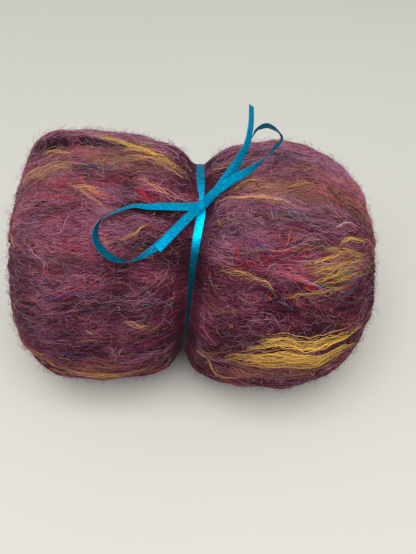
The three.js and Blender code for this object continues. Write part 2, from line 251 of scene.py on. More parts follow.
def normals_of(points):
    """Outward normals of a grid of points."""
    along = np.gradient(points, axis=0)
    around = np.roll(points, -1, axis=1) - np.roll(points, 1, axis=1)
    out = np.cross(around, along)
    out /= np.linalg.norm(out, axis=2, keepdims=True) + 1e-9
    middle = np.array([0, AXIS_Y, AXIS_Z])
    if ((points[ROWS // 3] - middle)[:, 1:] * out[ROWS // 3][:, 1:]).sum() < 0:
        out = -out
    return out


def waves(count, along, around):
    """A smooth random field over the batt, of unit size: call it with mm along the surface and an angle."""
    turns = random.normal(0, 2 * math.pi / along, count)
    rounds = np.rint(random.normal(0, 2 * math.pi * MEAN_RADIUS / around, count))
    phases = random.uniform(0, 2 * math.pi, count)
    scale = math.sqrt(2 / count)

    def field(place, angle):
        total = np.zeros(np.broadcast(place, angle).shape)
        for turn, rounding, phase in zip(turns, rounds, phases):
            total += np.cos(turn * place + rounding * angle + phase)
        return scale * total

    return field


# Dents and swells that the photograph shows: place along the roll in mm, angle round it in degrees, how far the
# surface rises, and how far that reaches along and around, in mm.
HOLLOWS = [
    (-80, 104, -3.5, 26, 3.5), (-78, 111, 1.6, 30, 4), (-45, 80, -2.6, 2.6, 9), (-25, 70, -3.2, 17, 3.5),
    (-24, 63, -2.5, 10, 5), (-48, 27, -2.8, 4, 15), (-62, 87, -2.5, 8, 5), (91, 61, -2.5, 9, 6),
    (81, 22, -2.2, 18, 4), (41, 33, -2.6, 18, 4), (78, 13, -1.8, 28, 4), (-72, 122, -3.4, 30, 34),
    (-22, 118, 3.0, 13, 30), (-118, 122, 2.6, 14, 26),
]
MM_A_DEGREE = 1.5
# The skin's own relief is lumps, locks and combing: each row has its size, and the waves' number and length
# along and round the roll. Then how far the skin sinks under its fibres, how far from the ribbon and from an
# end the relief fades out, and how far the skin and the fibres stay off the floor. All sizes are in mm.
RELIEF = [(0.5, 40, 60, 55), (0.6, 60, 55, 14), (0.25, 80, 22, 6)]
SKIN = 0.7
SEAT_FADE = 9
POLE_FADE = 45
SKIN_OFF_FLOOR = 0.3
FIBRES_OFF_FLOOR = 0.4

random = np.random.default_rng(6812)
place_along = np.linspace(0, RUN_LENGTH, ROWS)[:, None]
place_round = angles[None, :]


def fields(rows):
    """The sum of the smooth random fields that a table's rows describe, over the whole grid."""
    return sum(size * waves(*shape)(place_along, place_round) for size, *shape in rows)


from_seat = np.abs(grid[:, :, 0] - seat_at(angles)[None, :]) - SEAT["half"]
middle_rows = (place_along > 0.3 * RUN_LENGTH) & (place_along < 0.7 * RUN_LENGTH)
off_seat = np.where(middle_rows, np.clip(from_seat / SEAT_FADE, 0, 1), 1.0)
off_pole = np.clip(np.minimum(place_along, RUN_LENGTH - place_along) / POLE_FADE, 0, 1)
relief = fields(RELIEF) * off_pole - SKIN
for x, angle, rise, along, around in HOLLOWS:
    reach_x = (grid[:, :, 0] - x) / along
    turn = (np.degrees(angles)[None, :] - angle + 180) % 360 - 180
    relief = relief + rise * np.exp(-(reach_x ** 2) - (turn * MM_A_DEGREE / around) ** 2)
body = grid + normals_of(grid) * (relief * off_seat)[:, :, None]
body[:, :, 2] = np.maximum(body[:, :, 2], SKIN_OFF_FLOOR)
body_out = normals_of(body)

# The fibres don't run straight to the middle of an end, they wrap round it: their slant by distance from it.
SWIRL_REACH = 46
SWIRL_TURN = {"left": -50, "right": 38}
LEAST_RADIUS = 7
end_near = {"left": place_along[:, 0], "right": RUN_LENGTH - place_along[:, 0]}
swirl = np.zeros(ROWS)
for end, turn in SWIRL_TURN.items():
    close = np.clip(1 - end_near[end] / SWIRL_REACH, 0, 1)
    swirl += math.radians(turn) * close ** 2 * (3 - 2 * close)
radii = np.maximum(np.hypot(body[:, :, 1] - AXIS_Y, body[:, :, 2] - AXIS_Z).mean(axis=1), LEAST_RADIUS)
unwind = np.concatenate([[0], np.cumsum((np.tan(swirl) / radii)[:-1] * np.diff(place_along[:, 0]))])
unwind = MEAN_RADIUS * (unwind - unwind[ROWS // 2])

# The dyes in the blend with their shares, and where the carding left more of one: place along the roll, angle,
# reach both ways in mm, dye, and its share beside the blend's 1. The near-black entry is no dye but painted
# shade: in the blend it stands in for the shade between the fibres, and its patches are painted shade in the
# creases and hollows, under the top layer's edge and under the ribbon's loops, and low on the front.
DYES = {
    "plum": "#9a4e68",
    "wine": "#5c1e3a",
    "mauve": "#b07896",
    "rose": "#98404e",
    "heather": "#80607c",
    "brown": "#966450",
    "gold": "#dcae4c",
    "ochre": "#bc8c50",
    "peach": "#cc9460",
    "red": "#c81e30",
    "orange": "#d46a30",
    "blue": "#2a4c9c",
    "teal": "#2a8684",
    "green": "#587f3a",
    # Painted shade, not a dye: the near-black of the gaps and creases.
    "dark": "#240a1c",
    "pale": "#d8c8c0",
}
BLEND = {"plum": 32, "wine": 24, "mauve": 10, "rose": 9, "heather": 9, "brown": 14, "ochre": 2.4, "gold": 1.2,
         "red": 2.4, "orange": 0.8, "blue": 0.7, "teal": 0.3, "green": 0.7, "dark": 7}
PATCHES = [
    (-96, 107, 20, 5, "dark", 14.0), (-54, 110, 17, 4.5, "dark", 14.0), (-30, 101, 18, 5, "ochre", 0.7),
    (-35, 88, 20, 10, "brown", 0.9), (-60, 97, 30, 8, "brown", 1.0), (-68, 89, 12, 6, "green", 0.5),
    (-74, 87, 8, 4, "blue", 0.5), (-110, 83, 12, 8, "ochre", 0.6), (-20, 79, 18, 9, "plum", 1.6),
    (-33, 71, 9, 4, "red", 1.0), (-97, 66, 25, 12, "rose", 0.5), (-75, 56, 24, 16, "plum", 1.2),
    (-75, 58, 45, 26, "mauve", 0.6), (-91, 75, 6, 3, "red", 0.9), (-79, 47, 8, 4, "red", 1.0),
    (-60, 33, 25, 6, "red", 0.5), (-86, 34, 25, 10, "mauve", 1.1), (-47, 24, 25, 12, "mauve", 0.8),
    (-62, 59, 15, 8, "heather", 0.7), (-93, 26, 9, 4, "blue", 0.5), (-106, 12, 16, 10, "heather", 1.4),
    (-62, 3, 30, 8, "wine", 1.2), (-90, 6, 20, 8, "dark", 0.6), (-27, 7, 20, 9, "wine", 1.0),
    (-25, 68, 16, 4, "dark", 5.0), (-46, 80, 3, 9, "dark", 6.0), (-48, 28, 5, 15, "dark", 3.0),
    (-64, 24, 24, 4, "dark", 1.6), (-33, 50, 10, 4, "dark", 2.0), (-70, -9, 45, 6, "brown", 0.9),
    (-70, -9, 45, 6, "ochre", 0.5), (-118, 50, 14, 30, "heather", 0.6), (-70, 8, 80, 46, "wine", 1.8),
    (-70, 8, 80, 42, "dark", 1.0), (-13, 64, 13, 5, "dark", 4.0), (70, 18, 80, 50, "wine", 2.6),
    (70, 18, 80, 45, "dark", 1.8), (61, 106, 50, 16, "mauve", 2.6), (-60, 125, 60, 20, "mauve", 1.2),
    (67, 78, 35, 9, "brown", 1.3), (96, 78, 25, 9, "brown", 1.0), (46, 78, 20, 8, "ochre", 0.6),
    (25, 56, 20, 13, "mauve", 2.8), (40, 62, 22, 8, "heather", 0.9), (60, 66, 70, 26, "mauve", 0.35),
    (37, 43, 14, 5, "red", 0.7), (67, 43, 20, 5, "red", 0.4), (53, 53, 15, 4, "red", 0.3),
    (45, 50, 4, 3, "blue", 0.8), (104, 45, 6, 4, "blue", 0.6), (75, 25, 10, 4, "blue", 0.5),
    (80, 66, 18, 6, "teal", 0.3), (30, 45, 12, 3, "green", 0.6), (101, 41, 14, 4, "green", 0.4),
    (60, 88, 8, 3, "green", 0.4), (101, 41, 22, 8, "ochre", 1.1), (28, 21, 20, 12, "plum", 0.9),
    (76, 18, 24, 9, "wine", 1.3), (54, 29, 20, 5, "dark", 1.8), (84, 24, 26, 5, "dark", 1.6),
    (91, 61, 10, 5, "dark", 1.8), (96, 19, 22, 8, "rose", 1.0), (110, 27, 15, 8, "plum", 0.8),
    (51, -11, 40, 7, "ochre", 0.9), (86, -3, 28, 8, "gold", 0.8), (120, 89, 15, 15, "orange", 0.3),
    (129, 62, 8, 20, "orange", 0.3),
]
# Painted shade beside the ribbon, where the lobes close over it: more wine and near-black, fading out over
# about RIBBON_REACH mm.
BY_RIBBON = {"wine": 2.2, "dark": 2.6}
RIBBON_REACH = 14
BLOTCHY = {"by": 0.6, "least": 0.2, "most": 2.2}
SHADED = 0.28
dye_names = list(DYES)
dye_colours = np.array([linear(DYES[name])[:3] for name in dye_names])
shades = waves(30, 60, 45)
blotches = waves(50, 26, 22)


def dye_shares(x, angle):
    """The share of each dye, and of the painted shade, at places along the roll in mm and angles round it
    in radians, adding up to 1.
    """
    shares = np.zeros(x.shape + (len(dye_names),))
    total = sum(BLEND.values())
    for name, share in BLEND.items():
        shares[..., dye_names.index(name)] = share / total
    uneven = np.clip(1 + BLOTCHY["by"] * blotches(x, angle), BLOTCHY["least"], BLOTCHY["most"])
    for patch_x, patch_angle, along, around, name, share in PATCHES:
        turn = (np.degrees(angle) - patch_angle + 180) % 360 - 180
        reach = np.exp(-(((x - patch_x) / along) ** 2) - (turn * MM_A_DEGREE / around) ** 2)
        shares[..., dye_names.index(name)] += share * reach * uneven
    # Painted shade, in wine and near-black, beside the ribbon.
    by_ribbon = np.exp(-(((x - seat_at(angle)) / RIBBON_REACH) ** 2))
    for name, share in BY_RIBBON.items():
        shares[..., dye_names.index(name)] += share * by_ribbon
    return shares / shares.sum(axis=-1, keepdims=True)


def add_piece(name, points, faces, material):
    """A mesh object in the row's frame from points in mm."""
    mesh = bpy.data.meshes.new(name)
    mesh.from_pydata([tuple(p) for p in np.asarray(points) * MM], [], faces)
    mesh.materials.append(material)
    mesh.polygons.foreach_set("use_smooth", [True] * len(mesh.polygons))
    mesh.update()
    return put_in(name, mesh)


def grid_faces(rings, around, closed=False):
    """Quads between rings of points, also between the last ring and the first if closed."""
    faces = []
    for ring in range(rings if closed else rings - 1):
        here, after = ring * around, (ring + 1) % rings * around
        for corner in range(around):
            other = (corner + 1) % around
            faces.append((here + corner, here + other, after + other, after + corner))
    return faces


def add_values(mesh, name, kind, field, values):
    """A named value or colour for every point of a mesh."""
    values = np.asarray(values, dtype=np.float32).ravel()
    mesh.attributes.new(name, kind, "POINT").data.foreach_set(field, values)


# Carded wool, seen between the loose fibres: its dyes lie in combed streaks 0.5 to 2 mm wide that waver, over
# gaps painted near-black for the shade between the fibres. The comb map runs along the fibres and across them
# in mm.
ground_wool, tree, surface = new_material("carded_wool_ground")
comb = add_node(tree, "ShaderNodeUVMap", {}, uv_map="comb")
waver = add_node(tree, "ShaderNodeTexNoise", {"Vector": comb.outputs["UV"], "Scale": 0.06, "Detail": 3.0})
centred = add_node(
    tree, "ShaderNodeVectorMath", {0: waver.outputs["Color"], 1: (0.5, 0.5, 0.5)}, operation="SUBTRACT",
)
WAVER = (14, 14, 0)
pushed = add_node(
    tree, "ShaderNodeVectorMath", {0: centred.outputs[0], 1: WAVER, 2: comb.outputs["UV"]},
    operation="MULTIPLY_ADD",
)
# Each layer's turn in degrees, its scale along and across, a mm, and its share.
STREAKS = [(0, 0.07, 1.5, 0.45), (16, 0.13, 1.1, 0.30), (-24, 0.40, 1.2, 0.25)]
total = None
for turn, along, across, share in STREAKS:
    place = add_node(tree, "ShaderNodeMapping", {
        "Vector": pushed.outputs[0], "Rotation": (0, 0, math.radians(turn)), "Scale": (along, across, 1.0),
    })
    streak = add_node(
        tree, "ShaderNodeTexNoise", {"Vector": place.outputs["Vector"], "Scale": 1.0, "Detail": 5.0},
    )
    added = add_node(tree, "ShaderNodeMath", {0: streak.outputs["Fac"], 1: share}, operation="MULTIPLY")
    if total is not None:
        added = add_node(tree, "ShaderNodeMath", {0: added.outputs[0], 1: total.outputs[0]}, operation="ADD")
    total = added
ramp = add_node(tree, "ShaderNodeValToRGB", {"Fac": total.outputs[0]})
# The ramp holds factors on the dye, not colours: first the painted shade in the gaps, then on the streaks.
RAMP = [(0.42, (0.05, 0.015, 0.03)), (0.58, (1.05, 0.97, 1.0))]
for element, (at, factors) in zip(ramp.color_ramp.elements, RAMP):
    element.position = at
    element.color = factors + (1,)
dye = add_node(tree, "ShaderNodeAttribute", {}, attribute_name="dye")
tint = add_node(
    tree, "ShaderNodeMix", {"Factor": 1.0, "A": dye.outputs["Color"], "B": ramp.outputs["Color"]},
    data_type="RGBA", blend_type="MULTIPLY",
)
bump = add_node(tree, "ShaderNodeBump", {"Height": total.outputs[0], "Strength": 0.8, "Distance": 0.0015})
add_surface(tree, surface, {
    "Base Color": tint.outputs["Result"], "Normal": bump.outputs["Normal"], "Roughness": 0.9,
    "Specular IOR Level": 0.15,
})

poles = np.array([body[0].mean(axis=0), body[-1].mean(axis=0)])
body_points = np.concatenate([body.reshape(-1, 3), poles])
faces = grid_faces(ROWS, ROUND)
for column in range(ROUND):
    after = (column + 1) % ROUND
    faces.append((ROWS * ROUND, after, column))
    faces.append((ROWS * ROUND + 1, (ROWS - 1) * ROUND + column, (ROWS - 1) * ROUND + after))
batt = add_piece("batt_body", body_points, faces, ground_wool)


def faces_out(piece):
    """Turns a closed piece's faces over if its volume says that they point in."""
    mesh = piece.data
    mesh.calc_loop_triangles()
    corners = np.empty(len(mesh.loop_triangles) * 3, dtype=np.int32)
    mesh.loop_triangles.foreach_get("vertices", corners)
    places = np.empty(len(mesh.vertices) * 3)
    mesh.vertices.foreach_get("co", places)
    a, b, c = places.reshape(-1, 3)[corners.reshape(-1, 3)].transpose(1, 0, 2)
    if (a * np.cross(b, c)).sum() < 0:
        mesh.flip_normals()


faces_out(batt)
# The skin's colour: the dyes' shares, painted shade among them, times a slow random change of tone.
ground_shares = dye_shares(body[:, :, 0], np.broadcast_to(place_round, body.shape[:2]))
ground_value = np.exp(SHADED * shades(place_along, place_round))[:, :, None]
ground_colours = (ground_shares @ dye_colours * ground_value).reshape(-1, 3)
ground_colours = np.concatenate([ground_colours, ground_colours[[0, -1]]])
ground_colours = np.concatenate([ground_colours, np.ones((len(ground_colours), 1))], axis=1)
add_values(batt.data, "dye", "FLOAT_COLOR", "color", ground_colours)

corner_vertex = np.zeros(len(batt.data.loops), dtype=int)
batt.data.loops.foreach_get("vertex_index", corner_vertex)
# The comb map's seam lies between the last column and the first, and a pole takes its neighbours' column.
comb_parts = []
quad_corners = (ROWS - 1) * ROUND * 4
for part, size in ((corner_vertex[:quad_corners], 4), (corner_vertex[quad_corners:], 3)):
    part = part.reshape(-1, size)
    column = np.where(part >= ROWS * ROUND, -1, part % ROUND)
    column = np.where(column < 0, column.max(axis=1, keepdims=True), column)
    column = np.where(column.max(axis=1, keepdims=True) - column > ROUND / 2, column + ROUND, column)
    row = np.minimum(part // ROUND, ROWS - 1)
    row = np.where(part == ROWS * ROUND, 0, row)
    across = MEAN_RADIUS * 2 * math.pi * column / ROUND - unwind[row]
    comb_parts.append(np.stack([place_along[row, 0], across], axis=-1).reshape(-1, 2))
comb_map = batt.data.uv_layers.new(name="comb")
comb_map.uv.foreach_set("vector", np.concatenate(comb_parts).astype(np.float32).ravel())

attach(batt, "root")
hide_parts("batt")

# Wool fibres
# The loose fibres of the batt's skin: fine crimped strands of dyed wool combed along the roll, a few to a wisp,
# that follow its swells, pass under the ribbon and wrap round both ends.


def sample(field, row, column):
    """A field of the grid between its rows and columns."""
    row = np.clip(row, 0, ROWS - 1.001)
    low_row = np.floor(row).astype(int)
    low_column = np.floor(column).astype(int)
    up = (row - low_row)[..., None]
    over = (column - low_column)[..., None]
    left, right = low_column % ROUND, (low_column + 1) % ROUND
    near = field[low_row, left] * (1 - over) + field[low_row, right] * over
    far = field[low_row + 1, left] * (1 - over) + field[low_row + 1, right] * over
    return near * (1 - up) + far * up


ROW_STEP = RUN_LENGTH / (ROWS - 1)
# How far apart the grid's rows and columns lie, and the slant of the carding, in radians: it drifts slowly over
# the batt, less beside the ribbon, and swirls at the ends.
column_step = np.linalg.norm(np.roll(body, -1, axis=1) - body, axis=2)
column_step = blur(column_step, 3, 1, True)
row_step = np.linalg.norm(np.gradient(body, axis=0), axis=2)
row_step = blur(blur(row_step, 2, 0, False), 4, 1, True)
steps = np.stack([row_step, column_step], axis=2)
DRIFT = [(0.20, 30, 80, 60), (0.16, 40, 30, 26)]
BY_RIBBON_DRIFT = 0.35
drift_field = fields(DRIFT) * (BY_RIBBON_DRIFT + (1 - BY_RIBBON_DRIFT) * off_seat) + swirl[:, None]
drift_field = drift_field[:, :, None]

# The radius inside the ribbon's band, which keeps the fibres under it.
BAND_STEPS = 300
ribbon_bvh = bvh_of("ribbon")
band_angles = 2 * math.pi * np.arange(BAND_STEPS) / BAND_STEPS
band_x = seat_at(band_angles)
band_inner = []
for angle, x in zip(band_angles, band_x):
    inner = cast(ribbon_bvh, float(x), math.pi / 2, float(angle))
    band_inner.append(math.hypot(inner[1] - AXIS_Y, inner[2] - AXIS_Z))
band_inner = np.array(band_inner)
# Fibres lie flat under the ribbon, then climb this steeply to either side until they are clear of it, in mm.
UNDER_RIBBON = {"flat": 4.4, "rise": 0.9, "until": 9.0, "over_inner": 0.3}


def lay_down(places, over=np.zeros(1, dtype=bool)):
    """Presses places in mm down to where they pass under the ribbon, apart from the strands that lie over it,
    and keeps them off the floor."""
    y, z = AXIS_Y - places[..., 1], places[..., 2] - AXIS_Z
    angle, radius = np.arctan2(z, y), np.hypot(y, z)
    aside = np.abs(places[..., 0] - seat_at(angle))
    limit = np.interp(angle, band_angles, band_inner, period=2 * math.pi) + UNDER_RIBBON["over_inner"]
    limit = limit + np.maximum(aside - UNDER_RIBBON["flat"], 0) * UNDER_RIBBON["rise"]
    held = (aside < UNDER_RIBBON["until"]) & (radius > limit) & ~over[:, None]
    factor = np.where(held, limit / radius, 1.0)
    places[..., 1] = AXIS_Y - y * factor
    places[..., 2] = np.maximum(AXIS_Z + z * factor, FIBRES_OFF_FLOOR)
    return places


LEAST_STEP = {"row": 0.4, "column": 0.15, "stray": 0.3}


def comb_out(row, column, heading, habit, count):
    """Paths of strands over the batt: each starts at a row and column and runs along the roll with the drift of
    the carding. Heading is the strand's own slant. Its habit is its length, the size, wavelength and phase of
    its waves, and how fast it curls aside."""
    length, sway, swing, phase, curl = habit
    row, column = row.copy(), column.copy()
    places, outs = [], []
    step = length / (count - 1)
    for index in range(count):
        turn = heading + curl * index * step + sample(drift_field, row, column)[:, 0]
        turn = turn + sway / swing * 2 * math.pi * np.cos(2 * math.pi * index * step / swing + phase)
        places.append(sample(body, row, column))
        outs.append(sample(body_out, row, column))
        size = sample(steps, row, column)
        row = np.clip(row + step * np.cos(turn) / np.maximum(size[:, 0], LEAST_STEP["row"]), 1, ROWS - 2)
        column = column + step * np.sin(turn) / np.maximum(size[:, 1], LEAST_STEP["column"])
    return np.stack(places, axis=1), np.stack(outs, axis=1)


def habits(look):
    """The habit of every strand that a table row asks for, drawn from its ranges."""
    count = look["count"]
    return (
        random.uniform(*look["length"], count), random.uniform(*look["sway"], count),
        random.uniform(*look["swing"], count), random.uniform(0, 2 * math.pi, count),
        random.normal(0, look["curl"], count),
    )


# Places are drawn evenly by area, with fewer on the underside that rests on the table.
UNDERSIDE = {"faces_down": -0.55, "share": 0.3}
underside = body_out[:, :, 2] < UNDERSIDE["faces_down"]
cell_area = row_step * column_step * np.where(underside, UNDERSIDE["share"], 1.0)
cell_area[[0, 1, -2, -1]] = 0
cell_share = (cell_area / cell_area.sum()).ravel()


def scatter(count):
    """Random rows and columns, even over the batt's surface."""
    cell = random.choice(ROWS * ROUND, size=count, p=cell_share)
    return cell // ROUND + random.uniform(-0.5, 0.5, count), cell % ROUND + random.uniform(-0.5, 0.5, count)


def angle_of(column):
    """The angle round the roll of a column, in radians."""
    return np.radians(-90 + 360 * column / ROUND)


# Draws stay a little under 1, as rounding may leave the shares' sum.
TOP_DRAW = 0.9999


def pick_dyes(row, column):
    """One dye for each place, drawn from the shares there; some places draw the near-black of painted shade."""
    x = sample(body, row, column)[:, 0]
    reached = np.cumsum(dye_shares(x, angle_of(column)), axis=1)
    return (reached < random.uniform(0, TOP_DRAW, len(row))[:, None]).sum(axis=1)


FULLNESS = 1.6


def tapered(count, thick, tip=0.25):
    """Thickness along each strand: full over its middle half, fine at both tips."""
    share = np.linspace(0, 1, count)
    profile = tip + (1 - tip) * np.clip(np.sin(math.pi * share) * FULLNESS, 0, 1)
    return thick[:, None] * profile[None, :]


# The tree that turns strand lines into fine closed tubes, thinning to their tips.
strand_tree = bpy.data.node_groups.new("spun_out_strands", "GeometryNodeTree")
strand_tree.interface.new_socket("Lines", in_out="INPUT", socket_type="NodeSocketGeometry")
finish_socket = strand_tree.interface.new_socket("Finish", in_out="INPUT", socket_type="NodeSocketMaterial")
strand_tree.interface.new_socket("Strands", in_out="OUTPUT", socket_type="NodeSocketGeometry")
group_in = add_node(strand_tree, "NodeGroupInput", {})
lines = add_node(strand_tree, "GeometryNodeMeshToCurve", {"Mesh": group_in.outputs["Lines"]})
thickness = add_node(strand_tree, "GeometryNodeInputNamedAttribute", {"Name": "thickness"}, data_type="FLOAT")
profile = add_node(strand_tree, "GeometryNodeCurvePrimitiveCircle", {"Resolution": 3, "Radius": 1.0})
tubes = add_node(
    strand_tree, "GeometryNodeCurveToMesh",
    {"Curve": lines.outputs["Curve"], "Profile Curve": profile.outputs["Curve"],
     "Scale": thickness.outputs["Attribute"], "Fill Caps": True},
)
real = add_node(strand_tree, "GeometryNodeRealizeInstances", {"Geometry": tubes.outputs["Mesh"]})
finished = add_node(
    strand_tree, "GeometryNodeSetMaterial",
    {"Geometry": real.outputs["Geometry"], "Material": group_in.outputs["Finish"]},
)
add_node(strand_tree, "NodeGroupOutput", {"Strands": finished.outputs["Geometry"]})


def make_strands(name, places, thick, colours, material):
    """One piece of tubes: places in mm by strand and point, thick in mm the same way, a colour a strand."""
    strands, count = places.shape[:2]
    lines_mesh = bpy.data.meshes.new(name + "_lines")
    first = (np.arange(strands) * count)[:, None] + np.arange(count - 1)[None, :]
    edges = np.stack([first, first + 1], axis=2).reshape(-1, 2)
    lines_mesh.vertices.add(strands * count)
    lines_mesh.vertices.foreach_set("co", (places * MM).astype(np.float32).ravel())
    lines_mesh.edges.add(len(edges))
    lines_mesh.edges.foreach_set("vertices", edges.astype(np.int32).ravel())
    dyes = np.repeat(np.concatenate([colours, np.ones((strands, 1))], axis=1), count, axis=0)
    add_values(lines_mesh, "thickness", "FLOAT", "value", thick * MM / 2)
    add_values(lines_mesh, "dye", "FLOAT_COLOR", "color", dyes)
    lines_mesh.update()
    source = put_in(name + "_lines", lines_mesh)
    modifier = source.modifiers.new("tubes", "NODES")
    modifier.node_group = strand_tree
    modifier[finish_socket.identifier] = material
    graph = bpy.context.evaluated_depsgraph_get()
    mesh = bpy.data.meshes.new_from_object(source.evaluated_get(graph))
    mesh.name = name
    bpy.data.objects.remove(source)
    mesh.polygons.foreach_set("use_smooth", [True] * len(mesh.polygons))
    piece = put_in(name, mesh)
    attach(piece, "root")
    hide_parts("batt")


def fibre_material(name, roughness, sheen, gloss):
    """A fibre in each strand's own colour, with a sheen at grazing angles."""
    material, tree, surface = new_material(name)
    dye = add_node(tree, "ShaderNodeAttribute", {}, attribute_name="dye")
    add_surface(tree, surface, {
        "Base Color": dye.outputs["Color"], "Roughness": roughness, "Specular IOR Level": gloss,
        "Sheen Weight": sheen, "Sheen Roughness": 0.5,
    })
    return material


# Dyed merino fibre: rough, with next to no gloss.
merino = fibre_material("dyed_merino_fibre", 0.8, 0.05, 0.1)

# The wisps, and how far each strand strays from its wisp. Lengths are in mm and headings in radians.
WISPS = {
    "count": 3300, "heading": 0.20, "length": (22, 52), "sway": (0.5, 1.7), "swing": (13, 30), "curl": 0.010,
}
STRAY = {"rows": 3, "around": 1.6, "heading": 0.09, "length": (0.7, 1.15), "phase": 0.5}
LIFT = {"least": 0.05, "middle": (0.1, 1.0), "roundness": 0.7}
VALUE = {"mean": -0.08, "spread": 0.18, "most": 1.45}
STRAND_THICK = (0.14, 0.34)
PER_WISP = 3
POINTS = 9
SKIN_PIECES = 3
OVER_RIBBON = 0.012
strands = WISPS["count"] * PER_WISP


def spread_out(values):
    """A wisp's value for each of its strands."""
    return np.repeat(values, PER_WISP)


wisp_row, wisp_column = scatter(WISPS["count"])
wisp_dye = pick_dyes(wisp_row, wisp_column)
wisp_heading = random.normal(0, WISPS["heading"], WISPS["count"])
length, sway, swing, phase, curl = (spread_out(values) for values in habits(WISPS))

row = spread_out(wisp_row) + random.normal(0, STRAY["rows"], strands)
around_step = sample(steps, spread_out(wisp_row), spread_out(wisp_column))[:, 1]
stray = random.normal(0, STRAY["around"], strands) / np.maximum(around_step, LEAST_STEP["stray"])
column = spread_out(wisp_column) + stray
heading = spread_out(wisp_heading) + random.normal(0, STRAY["heading"], strands)
length = length * random.uniform(*STRAY["length"], strands)
row = row - length / 2 / ROW_STEP
phase = phase + random.normal(0, STRAY["phase"], strands)
places, outs = comb_out(row, column, heading, (length, sway, swing, phase, curl), POINTS)
arch = np.sin(math.pi * np.linspace(0, 1, POINTS)[None, :]) ** LIFT["roundness"]
lift = LIFT["least"] + random.uniform(*LIFT["middle"], strands)[:, None] * arch
places = places + outs * lift[:, :, None]
places = lay_down(places, random.uniform(0, 1, strands) < OVER_RIBBON)
# A wisp's colour is its dye, or the near-black of painted shade, times a random change of tone.
wisp_shade = shades(wisp_row * ROW_STEP, angle_of(wisp_column))
value = np.exp(spread_out(SHADED * wisp_shade) + random.normal(VALUE["mean"], VALUE["spread"], strands))
colours = dye_colours[spread_out(wisp_dye)] * np.minimum(value, VALUE["most"])[:, None]
thick = random.uniform(*STRAND_THICK, strands)
# In pieces from left to right, to keep each one light.
order = np.argsort(places[:, POINTS // 2, 0], kind="stable")
for number, part in enumerate(np.split(order, SKIN_PIECES)):
    make_strands(f"wool_fibres_{number + 1}", places[part], tapered(POINTS, thick[part]), colours[part], merino)

# Halo
# The finest fibres stand a few millimetres off the skin and blur the batt's outline with a fuzz of painted
# sheen:
# their dyes are mixed towards pale lavender, most on the fibres that face up. Some arch from the skin and back
# to it, and the others have one end loose.
HALO = {"count": 7400, "heading": 1.3, "length": (4, 12), "sway": (0.2, 0.7), "swing": (5, 12), "curl": 0.08}
HALO_LIFT = {"arch": (1.4, 4.6), "loose": (2.5, 1.5), "bend": 1.2, "arched": 0.45, "most": 6.5}
HALO_PAINTED_SHEEN = {"least": 0.3, "on_top": 0.4}
HALO_VALUE = (0, 0.2)
HALO_THICK = (0.12, 0.21)
HALO_TIP = 0.6
HALO_POINTS = 5
count = HALO["count"]
row, column = scatter(count)
heading = random.uniform(-HALO["heading"], HALO["heading"], count)
heading = heading + np.where(random.uniform(0, 1, count) < 0.5, math.pi, 0)
places, outs = comb_out(row, column, heading, habits(HALO), HALO_POINTS)
share = np.linspace(0, 1, HALO_POINTS)[None, :]
arch = random.uniform(*HALO_LIFT["arch"], count)[:, None] * np.sin(math.pi * share)
loose = random.gamma(*HALO_LIFT["loose"], count)[:, None] * share ** HALO_LIFT["bend"]
arched = random.uniform(0, 1, count)[:, None] < HALO_LIFT["arched"]
lift = np.minimum(np.where(arched, arch, loose), HALO_LIFT["most"])
places = lay_down(places + outs * lift[:, :, None])
halo_dye = pick_dyes(row, column)
# Painted sheen: each halo fibre's dye is mixed towards this pale lavender, more where the skin faces up.
lavender = np.array(linear("#b898a8")[:3])
pale = HALO_PAINTED_SHEEN["least"] + HALO_PAINTED_SHEEN["on_top"] * np.clip(sample(body_out, row, column)[:, 2:], 0, 1)
colours = (1 - pale) * dye_colours[halo_dye] + pale * lavender
colours = colours * np.exp(random.normal(*HALO_VALUE, count))[:, None]
thick = tapered(HALO_POINTS, random.uniform(*HALO_THICK, count), HALO_TIP)
make_strands("halo_fibres", places, thick, colours, merino)

